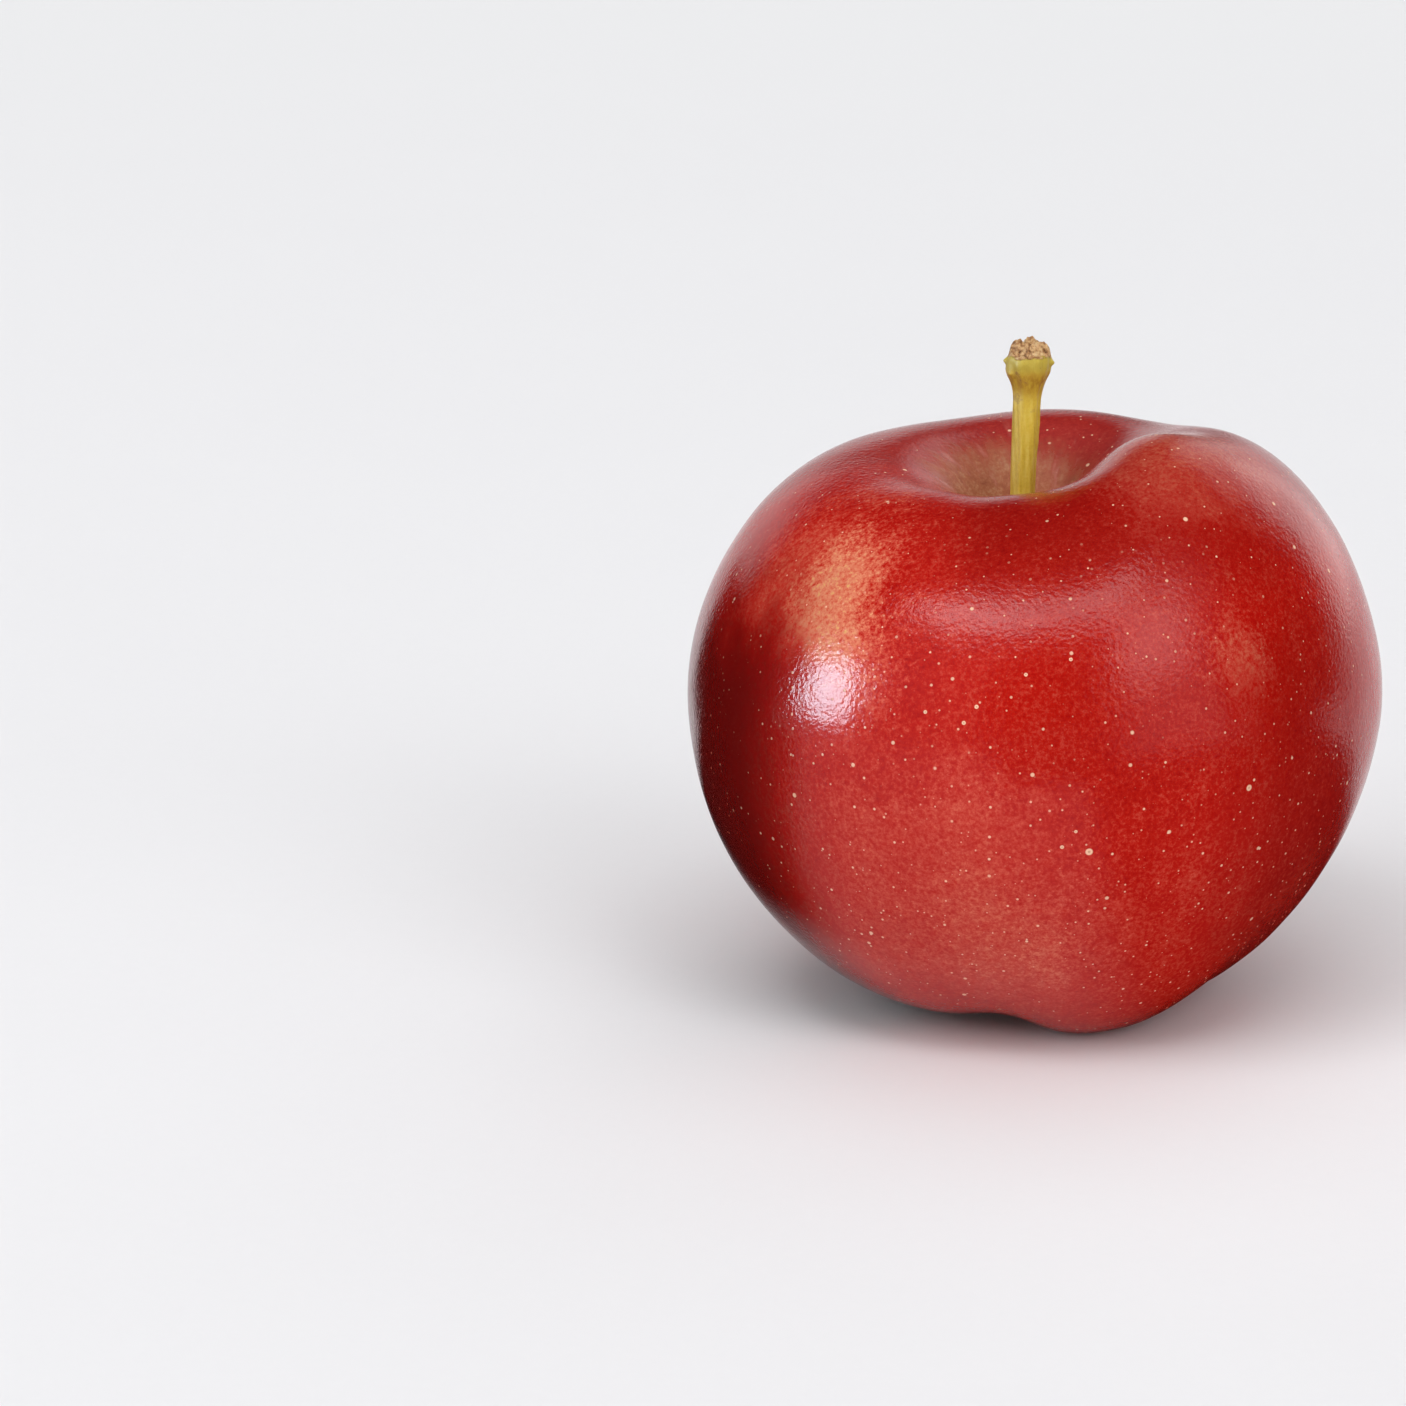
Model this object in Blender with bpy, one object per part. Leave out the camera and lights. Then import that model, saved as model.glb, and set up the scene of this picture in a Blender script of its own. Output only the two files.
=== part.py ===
"""A ripe red apple that stands on its base: the fruit, its stem and the dried calyx underneath.

Metres, +Z up. The fruit's axis is the Z axis, and z = 0 is the plane that it rests on. Its front
faces -Y. A turn is an angle about the axis, in degrees, from +X towards +Y.
"""

import math

import bmesh
import bpy
from mathutils import Euler, Vector
from mathutils.geometry import interpolate_bezier

# Driving dimensions of the fruit, in metres.
WIDTH = 0.0748  # across its widest part
HEIGHT = 0.0604  # from the resting plane to the average height of the shoulder's top
BELLY_HEIGHT = 0.0340  # where it is widest
FOOT_RADIUS = 0.0140  # from the axis to the lowest point of a foot
BASIN_DEPTH = 0.0076  # from the resting plane up to the floor of the calyx basin
SHOULDER_RADIUS = 0.0170  # from the axis to the top of the shoulder
CAVITY_DEPTH = 0.0155  # from the top of the shoulder down to the floor of the stem cavity
SOCKET_DEPTH = 0.0010  # how far the stem's foot stands in the cavity's floor
EYE_RADIUS = 0.0021  # of the tube that opens in the middle of the calyx basin
EYE_DEPTH = 0.0020
EYE_TAPER = 0.7  # radius at the tube's inner end, as a share of its mouth's
CAVITY_SHIFT = Vector((-0.0017, 0.0004, 0))  # the cavity's floor lies a little off the axis
GAP = 0.0003  # between pieces that touch

# How far the outline runs straight on at each of its stations before it curves away.
EYE_RUN_OUT = 0.0045
FOOT_RUN_IN = 0.0060
FOOT_RUN_OUT = 0.0090
BELLY_RUN_DOWN = 0.0155
BELLY_RUN_UP = 0.0113
SHOULDER_RUN_OUT = 0.0118
SHOULDER_RUN_IN = 0.0095
CAVITY_RUN_OUT = 0.0014
CAVITY_RUN_UP = 0.0050

# The shoulder isn't level. These are its rises above the average height, one every 45 degrees.
SHOULDER_RISES = (0.0022, 0.0005, 0.0002, -0.0004, -0.0011, -0.0024, -0.0011, 0.0037)

# The flank below the belly is fuller on the left. These are the widest swells, every 45 degrees.
FLANK_SWELLS = (0.0001, 0, 0, 0.0007, 0.0015, 0.0012, 0.0003, 0)

# Five lobes run down to the feet, as in every apple. The lifts are one for each foot.
LOBE_TURNS = (-66, 6, 78, 150, 222)
LOBE_STEP = 72
FOOT_LIFTS = (0, 0, 0, 0, 0.0017)  # the last foot doesn't reach the ground
FOOT_SINK = 0.0004  # how far the feet are pressed flat
FOOT_VALLEY = 0.0016  # how high the creases between the feet rise
SHOULDER_VALLEY = 0.0004  # how deep the dips between the lobes are on the shoulder
BELLY_SWELL = 0.0004  # how far a lobe stands out at the belly

# The stem: a shaft that leans, and the knob where it broke off its spur.
STEM_FOOT_RADIUS = 0.00165
STEM_SHAFT_RADIUS = 0.00140
STEM_KNOB_RADIUS = 0.00245
STEM_LENGTH = 0.0278
STEM_LEAN = 0.00080  # how far its top stands towards +X of its foot
STEM_LEAN_POWER = 1.3  # over 1, so that the foot stands straighter than the top
STEM_OUTLINE = (
    # share of the length, radius
    (0.00, STEM_FOOT_RADIUS),
    (0.07, STEM_FOOT_RADIUS),
    (0.22, STEM_SHAFT_RADIUS * 1.02),
    (0.45, STEM_SHAFT_RADIUS * 0.93),
    (0.70, STEM_SHAFT_RADIUS * 1.00),
    (0.79, STEM_SHAFT_RADIUS * 1.03),
    (0.85, STEM_SHAFT_RADIUS * 1.30),
    (0.89, STEM_KNOB_RADIUS),
    (0.95, STEM_KNOB_RADIUS),
    (1.00, STEM_KNOB_RADIUS * 0.66),
)
STEM_BEVEL_STEPS = 4
STEM_KNOT_STEPS = 3

# One dried sepal, from its root at the edge of the eye to its tip.
SEPAL_COUNT = 5
SEPAL_WIDTH = 0.0034
SEPAL_THICKNESS = 0.00045
SEPAL_CUP = 0.2  # how far its edges stand off its middle, as a share of its half width
SEPAL_ROOT_RADIUS = 0.0044
SEPAL_ROOT_DROP = 0.0007  # of its root below the floor of the basin
SEPAL_OUTLINE = (
    # share of the width, inwards from the root, down from the root
    (0.85, 0.0000, 0.0000),
    (1.00, 0.0004, 0.0009),
    (0.94, 0.0011, 0.0017),
    (0.72, 0.0018, 0.0023),
    (0.42, 0.0024, 0.0029),
    (0.12, 0.0028, 0.0036),
)

# The dried stamens: one tuft, with its widths as shares of the eye's.
TUFT_REACH = 0.0018  # below the floor of the basin
TUFT_MOUTH_WIDTH = 0.62
TUFT_ROOT_WIDTH = 0.45
TUFT_SIDES = 12

TURN_STEPS = 60
SPAN_STEPS = {"basin": 10, "underside": 14, "shoulder": 10, "cavity": 10}


def clear_scene():
    for old in list(bpy.data.objects):
        bpy.data.objects.remove(old, do_unlink=True)


def material(name, colour, roughness):
    made = bpy.data.materials.new(name)
    made.use_nodes = True
    shader = made.node_tree.nodes["Principled BSDF"]
    shader.inputs["Base Color"].default_value = (*colour, 1)
    shader.inputs["Roughness"].default_value = roughness
    shader.inputs["Metallic"].default_value = 0
    return made


def add_object(name, mesh, finish):
    made = bpy.data.objects.new(name, mesh)
    bpy.context.collection.objects.link(made)
    if not mesh.materials:
        mesh.materials.append(finish)
    return made


def smooth_step(share):
    return share * share * (3 - 2 * share)


def lobe_share(turn, lobe_turn):
    """How much of a lobe's own value counts at a turn: 1 on its ridge, 0 on its neighbours' ridges."""
    away = abs((turn - lobe_turn + 180) % 360 - 180)
    return math.cos(math.radians(90 * away / LOBE_STEP)) ** 2 if away < LOBE_STEP else 0


def by_lobe(values, turn):
    return sum(value * lobe_share(turn, lobe) for value, lobe in zip(values, LOBE_TURNS))


def by_turn(values, turn):
    """A smooth curve through values that are evenly spaced round the axis, starting at +X."""
    place = turn % 360 / 360 * len(values)
    first = int(place)
    share = place - first
    before, here, after, last = (values[(first + step) % len(values)] for step in (-1, 0, 1, 2))
    rise = (after - before) * share
    rise += (2 * before - 5 * here + 4 * after - last) * share**2
    rise += (3 * here - before - 3 * after + last) * share**3
    return here + rise / 2


def valley(turn):
    """0 on the ridge of a lobe and 1 in the middle of the dip between two."""
    return math.sin(math.radians((turn - LOBE_TURNS[0]) * 180 / LOBE_STEP)) ** 2


class Station:
    """A ring of the fruit: its radius and height, and how much it follows each uneven feature."""

    def __init__(self, radius, height, foot=0.0, flank=0.0, shoulder=0.0, cavity=0.0):
        self.radius = radius
        self.height = height
        self.foot = foot
        self.flank = flank
        self.shoulder = shoulder
        self.cavity = cavity

    def point(self, turn):
        dip = valley(turn)
        lobe = 0.5 - dip  # half out on a ridge, half in between two
        swell = BELLY_SWELL * lobe * (1 - self.cavity) * min(1, self.radius / SHOULDER_RADIUS)
        radius = self.radius + swell + self.flank * by_turn(FLANK_SWELLS, turn)
        height = self.height
        height += self.foot * (FOOT_VALLEY * dip**2 + by_lobe(FOOT_LIFTS, turn) - FOOT_SINK)
        height += self.shoulder * (by_turn(SHOULDER_RISES, turn) - SHOULDER_VALLEY * dip)
        angle = math.radians(turn)
        spot = Vector((radius * math.cos(angle), radius * math.sin(angle), max(height, 0)))
        return spot + CAVITY_SHIFT * self.cavity


def span(name, start, start_run, end_run, end, flank=0.0):
    """Rings along one Bezier curve between two stations, without the first. The flank swells halfway.

    A run is how far the curve goes straight on from its station, outwards and up.
    """
    steps = SPAN_STEPS[name]
    ends = [Vector((ring.radius, ring.height, 0)) for ring in (start, end)]
    runs = [Vector((*run, 0)) for run in (start_run, end_run)]
    curve = interpolate_bezier(ends[0], ends[0] + runs[0], ends[1] + runs[1], ends[1], steps + 1)
    rings = []
    for step in range(1, steps + 1):
        share = smooth_step(step / steps)
        follow = {
            feature: getattr(start, feature) * (1 - share) + getattr(end, feature) * share
            for feature in ("foot", "shoulder", "cavity")
        }
        bulge = flank * math.sin(math.pi * step / steps) ** 2
        rings.append(Station(curve[step].x, curve[step].y, flank=bulge, **follow))
    return rings


def fruit_stations():
    """The rings of the fruit, from the bottom of the eye, out over the belly, to the stem's socket."""
    eye = Station(EYE_RADIUS, BASIN_DEPTH)
    foot = Station(FOOT_RADIUS, 0, foot=1)
    belly = Station(WIDTH / 2, BELLY_HEIGHT)
    shoulder = Station(SHOULDER_RADIUS, HEIGHT, shoulder=1)
    socket_radius = STEM_FOOT_RADIUS + GAP
    floor = Station(socket_radius, HEIGHT - CAVITY_DEPTH, cavity=1)
    rings = [Station(EYE_RADIUS * EYE_TAPER, BASIN_DEPTH + EYE_DEPTH), eye]
    rings += span("basin", eye, (EYE_RUN_OUT, 0), (-FOOT_RUN_IN, 0), foot)
    rings += span("underside", foot, (FOOT_RUN_OUT, 0), (0, -BELLY_RUN_DOWN), belly, flank=1)
    rings += span("shoulder", belly, (0, BELLY_RUN_UP), (SHOULDER_RUN_OUT, 0), shoulder)
    rings += span("cavity", shoulder, (-SHOULDER_RUN_IN, 0), (CAVITY_RUN_OUT, CAVITY_RUN_UP), floor)
    rings.append(Station(socket_radius, floor.height - SOCKET_DEPTH, cavity=1))
    return rings


def build_fruit(finish):
    body = bmesh.new()
    turns = [360 * step / TURN_STEPS for step in range(TURN_STEPS)]
    rings = [[body.verts.new(ring.point(turn)) for turn in turns] for ring in fruit_stations()]
    for lower, upper in zip(rings, rings[1:]):
        for here in range(TURN_STEPS):
            after = (here + 1) % TURN_STEPS
            body.faces.new((lower[here], lower[after], upper[after], upper[here]))
    body.faces.new(list(reversed(rings[0])))
    body.faces.new(rings[-1])
    bmesh.ops.recalc_face_normals(body, faces=body.faces)
    mesh = bpy.data.meshes.new("fruit")
    body.to_mesh(mesh)
    body.free()
    mesh.shade_smooth()
    return add_object("fruit", mesh, finish)


def build_stem(finish):
    """A curve with a round bevel: the foot in its socket, the thin shaft, and the knob."""
    foot = CAVITY_SHIFT + Vector((0, 0, HEIGHT - CAVITY_DEPTH - SOCKET_DEPTH + GAP))
    curve = bpy.data.curves.new("stem", "CURVE")
    curve.dimensions = "3D"
    curve.bevel_depth = 1  # so that a point's radius is the stem's, in metres
    curve.bevel_resolution = STEM_BEVEL_STEPS
    curve.use_fill_caps = True
    curve.resolution_u = STEM_KNOT_STEPS
    spline = curve.splines.new("NURBS")
    spline.points.add(len(STEM_OUTLINE) - 1)
    for point, (share, radius) in zip(spline.points, STEM_OUTLINE):
        spot = foot + Vector((STEM_LEAN * share**STEM_LEAN_POWER, 0, STEM_LENGTH * share))
        point.co = (*spot, 1)
        point.radius = radius
    spline.use_endpoint_u = True
    spline.order_u = 3
    return add_object("stem", curve, finish)


def sepal_mesh():
    """A pointed blade that hangs from its root, leans over the eye and turns its tip outwards."""
    blade = bmesh.new()
    sections = []
    for width, inwards, down in SEPAL_OUTLINE:
        half = SEPAL_WIDTH * width / 2
        across = ((-half, half * SEPAL_CUP), (0, 0), (half, half * SEPAL_CUP))
        outer = [blade.verts.new((-inwards - back, side, -down)) for side, back in across]
        inner = [
            blade.verts.new((-inwards - back - SEPAL_THICKNESS, side, -down)) for side, back in across
        ]
        sections.append(outer + inner[::-1])
    for upper, lower in zip(sections, sections[1:]):
        for here in range(len(upper)):
            after = (here + 1) % len(upper)
            blade.faces.new((upper[here], upper[after], lower[after], lower[here]))
    blade.faces.new(sections[0])
    blade.faces.new(sections[-1])
    bmesh.ops.recalc_face_normals(blade, faces=blade.faces)
    mesh = bpy.data.meshes.new("sepal")
    blade.to_mesh(mesh)
    blade.free()
    mesh.shade_smooth()
    return mesh


def build_sepals(finish):
    mesh = sepal_mesh()
    for number in range(SEPAL_COUNT):
        turn = math.radians(LOBE_TURNS[number] + LOBE_STEP / 2)
        sepal = add_object(f"sepal_{number + 1}", mesh, finish)
        sepal.location = (
            SEPAL_ROOT_RADIUS * math.cos(turn),
            SEPAL_ROOT_RADIUS * math.sin(turn),
            BASIN_DEPTH - SEPAL_ROOT_DROP,
        )
        sepal.rotation_euler = Euler((0, 0, turn))


def build_stamens(finish):
    """One tuft that fills the eye and fans out a little below it."""
    bottom = BASIN_DEPTH - TUFT_REACH
    top = BASIN_DEPTH + EYE_DEPTH - GAP
    tuft = bmesh.new()
    bmesh.ops.create_cone(
        tuft,
        cap_ends=True,
        segments=TUFT_SIDES,
        radius1=EYE_RADIUS * TUFT_MOUTH_WIDTH,
        radius2=EYE_RADIUS * TUFT_ROOT_WIDTH,
        depth=top - bottom,
    )
    bmesh.ops.translate(tuft, verts=tuft.verts, vec=(0, 0, (top + bottom) / 2))
    mesh = bpy.data.meshes.new("dried_stamens")
    tuft.to_mesh(mesh)
    tuft.free()
    return add_object("dried_stamens", mesh, finish)


def main():
    clear_scene()
    build_fruit(material("red_skin", (0.50, 0.012, 0.010), 0.28))
    build_stem(material("green_stem", (0.42, 0.34, 0.06), 0.6))
    dry = material("dried_calyx", (0.20, 0.15, 0.09), 0.85)
    build_sepals(dry)
    build_stamens(dry)


main()
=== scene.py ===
"""A ripe red apple on a pale floor: the skin, the stem, the dried sepals, stamens and down, and the studio.

Metres, +Z up. The apple's core is the Z axis, its front faces -Y, and z = 0 is the floor. A turn is an
angle about the core, in degrees, from +X towards +Y. A bearing is where a lamp stands, in degrees, from
the front (-Y) towards the right (+X).
"""

import math
import random

import bmesh
import bpy
from mathutils import Euler, Matrix, Vector, noise


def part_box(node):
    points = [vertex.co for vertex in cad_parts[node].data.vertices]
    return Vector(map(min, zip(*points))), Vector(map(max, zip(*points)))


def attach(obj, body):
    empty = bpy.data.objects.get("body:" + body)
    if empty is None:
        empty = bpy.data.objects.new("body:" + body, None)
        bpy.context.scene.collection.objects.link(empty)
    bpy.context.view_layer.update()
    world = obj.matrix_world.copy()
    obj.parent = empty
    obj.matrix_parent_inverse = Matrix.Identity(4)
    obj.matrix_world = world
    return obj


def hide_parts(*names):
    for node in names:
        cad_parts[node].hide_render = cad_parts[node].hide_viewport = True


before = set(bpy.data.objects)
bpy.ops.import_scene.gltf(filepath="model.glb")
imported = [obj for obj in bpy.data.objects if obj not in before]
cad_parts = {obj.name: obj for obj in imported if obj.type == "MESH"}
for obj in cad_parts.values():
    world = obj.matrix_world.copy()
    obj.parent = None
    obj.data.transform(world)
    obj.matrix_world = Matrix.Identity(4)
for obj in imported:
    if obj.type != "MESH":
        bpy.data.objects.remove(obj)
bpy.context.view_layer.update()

MM = 0.001
DEGREES = 180 / math.pi
MERGE_DISTANCE = 0.000001

# The camera stands in front, a little above, with the apple right of the middle of its view.
CAMERA_ELEVATION = 16.0
CAMERA_DISTANCE = 0.600
FRAME_WIDTH = 0.1516  # what the camera takes in at that distance
SENSOR_WIDTH = 36.0
AIM = Vector((-0.0355, 0.0003, 0.0322))

# The fruit. The stem and its cavity stand a little off the core, and the sepals between the five feet.
APPLE_MIDDLE = Vector((0, 0, 33 * MM))
CORE_SHIFT = Vector((-1.7 * MM, 0.4 * MM, 0))
FOOT_TURNS = (-66, 6, 78, 150, 222)
HALF_LOBE = 36  # degrees from a foot to the hollow beside it


# ---------------------------------------------------------------- shader maths


class Wire:
    """An output of a shader node that Python's operators work on. Each operator adds one Math node."""

    def __init__(self, tree, socket):
        self.tree = tree
        self.socket = socket

    def math(self, operation, *values):
        return self.tree.add("ShaderNodeMath", {"operation": operation}, dict(enumerate(values)))

    def __add__(self, other):
        return self.math("ADD", self, other)

    __radd__ = __add__

    def __sub__(self, other):
        return self.math("SUBTRACT", self, other)

    def __rsub__(self, other):
        return self.math("SUBTRACT", other, self)

    def __mul__(self, other):
        return self.math("MULTIPLY", self, other)

    __rmul__ = __mul__

    def __truediv__(self, other):
        return self.math("DIVIDE", self, other)


class ShaderTree:
    """The nodes of one material or of the world."""

    def __init__(self, owner):
        owner.use_nodes = True
        self.nodes = owner.node_tree.nodes
        self.links = owner.node_tree.links
        self.nodes.clear()

    def add(self, kind, settings=None, inputs=None, output=0):
        """One node: its settings are made first, and then its sockets get their values or their links."""
        node = self.nodes.new(kind)
        for name, value in (settings or {}).items():
            if name == "stops":
                self.set_stops(node.color_ramp.elements, value)
            else:
                setattr(node, name, value)
        for name, value in (inputs or {}).items():
            if isinstance(value, Wire):
                self.links.new(value.socket, node.inputs[name])
            else:
                node.inputs[name].default_value = value
        return Wire(self, node.outputs[output]) if node.outputs else node

    @staticmethod
    def set_stops(elements, stops):
        while len(elements) < len(stops):
            elements.new(1)
        for element, (place, colour) in zip(elements, stops):
            element.position = place
            element.color = (*colour, 1)

    def mix(self, share, first, second):
        """A colour between two others."""
        first, second = (c if isinstance(c, Wire) else (*c, 1) for c in (first, second))
        return self.add("ShaderNodeMix", {"data_type": "RGBA"}, {0: share, 6: first, 7: second}, 2)

    def ramp(self, value, stops):
        return self.add("ShaderNodeValToRGB", {"stops": stops}, {0: value})

    def vector(self, operation, *values, output=0):
        return self.add("ShaderNodeVectorMath", {"operation": operation}, dict(enumerate(values)), output)

    def length(self, vector):
        return self.vector("LENGTH", vector, output="Value")

    def distance(self, vector, point):
        return self.vector("DISTANCE", vector, point, output="Value")

    def rise(self, value, start, end):
        """0 before start and 1 past end, smooth between. It falls where end is below start."""
        inputs = {"Value": value, "From Min": start, "From Max": end}
        return self.add("ShaderNodeMapRange", {"interpolation_type": "SMOOTHSTEP"}, inputs)

    def grain(self, space, size, detail=2.0, roughness=0.5):
        """Noise from 0 to 1, whose spots are about as wide as size."""
        inputs = {"Vector": space, "Scale": 1 / size, "Detail": detail, "Roughness": roughness}
        return self.add("ShaderNodeTexNoise", None, inputs)

    def cells(self, space, size, output="Distance"):
        """Cells about as wide as size: the distance from a cell's own point, or the cell's own colour."""
        return self.add("ShaderNodeTexVoronoi", None, {"Vector": space, "Scale": 1 / size}, output)

    def stretched(self, space, scale):
        return self.vector("MULTIPLY", space, scale)

    def lesser(self, first, second):
        return self.add("ShaderNodeMath", {"operation": "MINIMUM"}, {0: first, 1: second})

    def bump(self, height, depth, under=None):
        """Normals for a relief of that depth, in metres, on top of another relief's."""
        inputs = {"Height": height, "Distance": depth}
        if under is not None:
            inputs["Normal"] = under
        return self.add("ShaderNodeBump", None, inputs)


class Finish(ShaderTree):
    """A material with one Principled shader."""

    def __init__(self, name):
        self.material = bpy.data.materials.new(name)
        super().__init__(self.material)
        self.place = self.add("ShaderNodeTexCoord", output="Object")

    def along(self, axis):
        return self.add("ShaderNodeSeparateXYZ", None, {0: self.place}, axis)

    def shade(self, inputs):
        shader = self.add("ShaderNodeBsdfPrincipled", None, inputs)
        self.add("ShaderNodeOutputMaterial", None, {"Surface": shader})
        return self.material


# ---------------------------------------------------------------- finishes


LEVEL = (1, 1, 0)  # the scale that flattens a place onto the floor


def unit(turn):
    return Vector((math.cos(math.radians(turn)), math.sin(math.radians(turn)), 0))


def sway(pattern, amount):
    """A pattern of 0 to 1 as a swing about 0, as wide as the amount."""
    return amount * (pattern - 0.5)


RED_COVER = 0.76  # how much of the yellow ground the red covers on the whole
SKIN_COLOURS = (
    # how much red covers the yellow ground, colour
    (0.00, (0.740, 0.470, 0.140)),
    (0.20, (0.690, 0.245, 0.135)),
    (0.40, (0.610, 0.120, 0.066)),
    (0.58, (0.510, 0.042, 0.025)),
    (0.74, (0.425, 0.009, 0.004)),
    (0.90, (0.350, 0.003, 0.002)),
    (1.00, (0.270, 0.002, 0.0015)),
)
# the deep red of painted shade, for the shaded patches and the top of the shoulder
PAINTED_SHADE_RED = (0.090, 0.0012, 0.0008)
LEFT_TURN = -148  # the side where the painted shade of the shoulder begins higher up
RUSSET_MIDDLE = CORE_SHIFT + Vector((-0.7 * MM, 1.4 * MM, 0))
RUSSETS = ((0.34, (0.250, 0.066, 0.022)), (0.50, (0.370, 0.125, 0.048)), (0.64, (0.470, 0.240, 0.115)))
CAVITY_OLIVE = (0.330, 0.240, 0.070)
FLECK_PINK = (0.62, 0.27, 0.20)
BLOOM_AND_SHEEN_GREY = (0.55, 0.36, 0.34)
BASIN_GREENS = ((0.32, (0.105, 0.120, 0.020)), (0.48, (0.300, 0.290, 0.060)), (0.66, (0.520, 0.420, 0.170)))
DOWN_GREY = (0.42, 0.40, 0.33)
CAVITY_BEGINS = (38 * MM, 42 * MM)  # the heights between which its colours come in
BASIN_BEGINS = (15 * MM, 11 * MM)

PALE_PATCHES = (
    # turn, half its width and the softness of its sides in degrees, lowest, highest, how much red it lacks
    (-133, 8.5, 5, 45 * MM, 55.5 * MM, 0.36),
    (-147, 12, 8, 46 * MM, 57 * MM, 0.20),
    (-126, 7, 6, 38 * MM, 49 * MM, 0.24),
    (-66, 38, 16, 0 * MM, 22 * MM, 0.06),
    (-42, 30, 10, 59 * MM, 70 * MM, 0.24),
    (-57, 5, 5, 42 * MM, 49 * MM, 0.22),
    (-112, 24, 14, 9 * MM, 34 * MM, 0.13),
    (-89.5, 3, 2, 8 * MM, 17 * MM, 0.06),
)
SOFT_PATCHES = (
    # pale patches with wider, softer edges, on the sides and the back
    (60, 22, 22, 24 * MM, 48 * MM, 0.20),
    (124, 10, 20, 40 * MM, 54 * MM, 0.22),
    (138, 6, 14, 34 * MM, 50 * MM, 0.12),
    (100, 30, 26, 4 * MM, 22 * MM, 0.10),
)
PAINTED_SHADE_PATCHES = (
    # patches of painted shade in deep red: turn, half its width and the softness of its sides in degrees,
    # lowest, highest, how much the painted shade darkens it
    (204, 18, 12, -20 * MM, 47 * MM, 0.90),
    (174, 18, 26, -20 * MM, 42 * MM, 0.72),
    (-38, 18, 14, 12 * MM, 50 * MM, 0.42),
    (-76, 20, 12, 34 * MM, 50 * MM, 0.20),
    (-95, 34, 14, 53 * MM, 60 * MM, 0.16),
)
PATCH_EDGE = 4 * MM  # how far a patch fades at its top and bottom
SOFT_EDGE = 9 * MM

LENTICEL_COLOUR = (0.86, 0.56, 0.36)
LENTICEL_HEART = (0.30, 0.12, 0.06)
LENTICEL_LAYERS = (
    # size of a cell, radius of its dot, share of the cells that have one,
    # height where there are none, height where they are all there
    (1.05 * MM, 0.115 * MM, 0.60, 0.066, 0.030),
    (0.95 * MM, 0.088 * MM, 0.50, 0.028, 0.050),
    (2.00 * MM, 0.190 * MM, 0.32, -1, 0),
    (0.70 * MM, 0.080 * MM, 0.48, 0.048, 0.016),
)
LARGE_LENTICELS = (
    # turn, height, radius
    (-84.0, 26.8 * MM, 0.44 * MM),
    (-88.4, 27.4 * MM, 0.24 * MM),
    (-86.3, 29.2 * MM, 0.20 * MM),
    (-56.8, 32.2 * MM, 0.38 * MM),
    (-94.7, 46.0 * MM, 0.22 * MM),
    (-87.1, 47.8 * MM, 0.22 * MM),
    (-102.6, 42.2 * MM, 0.25 * MM),
    (-104.5, 40.4 * MM, 0.24 * MM),
    (-111.0, 41.2 * MM, 0.22 * MM),
)
SKIN_REACH = 37 * MM  # from the apple's middle to its skin


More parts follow.
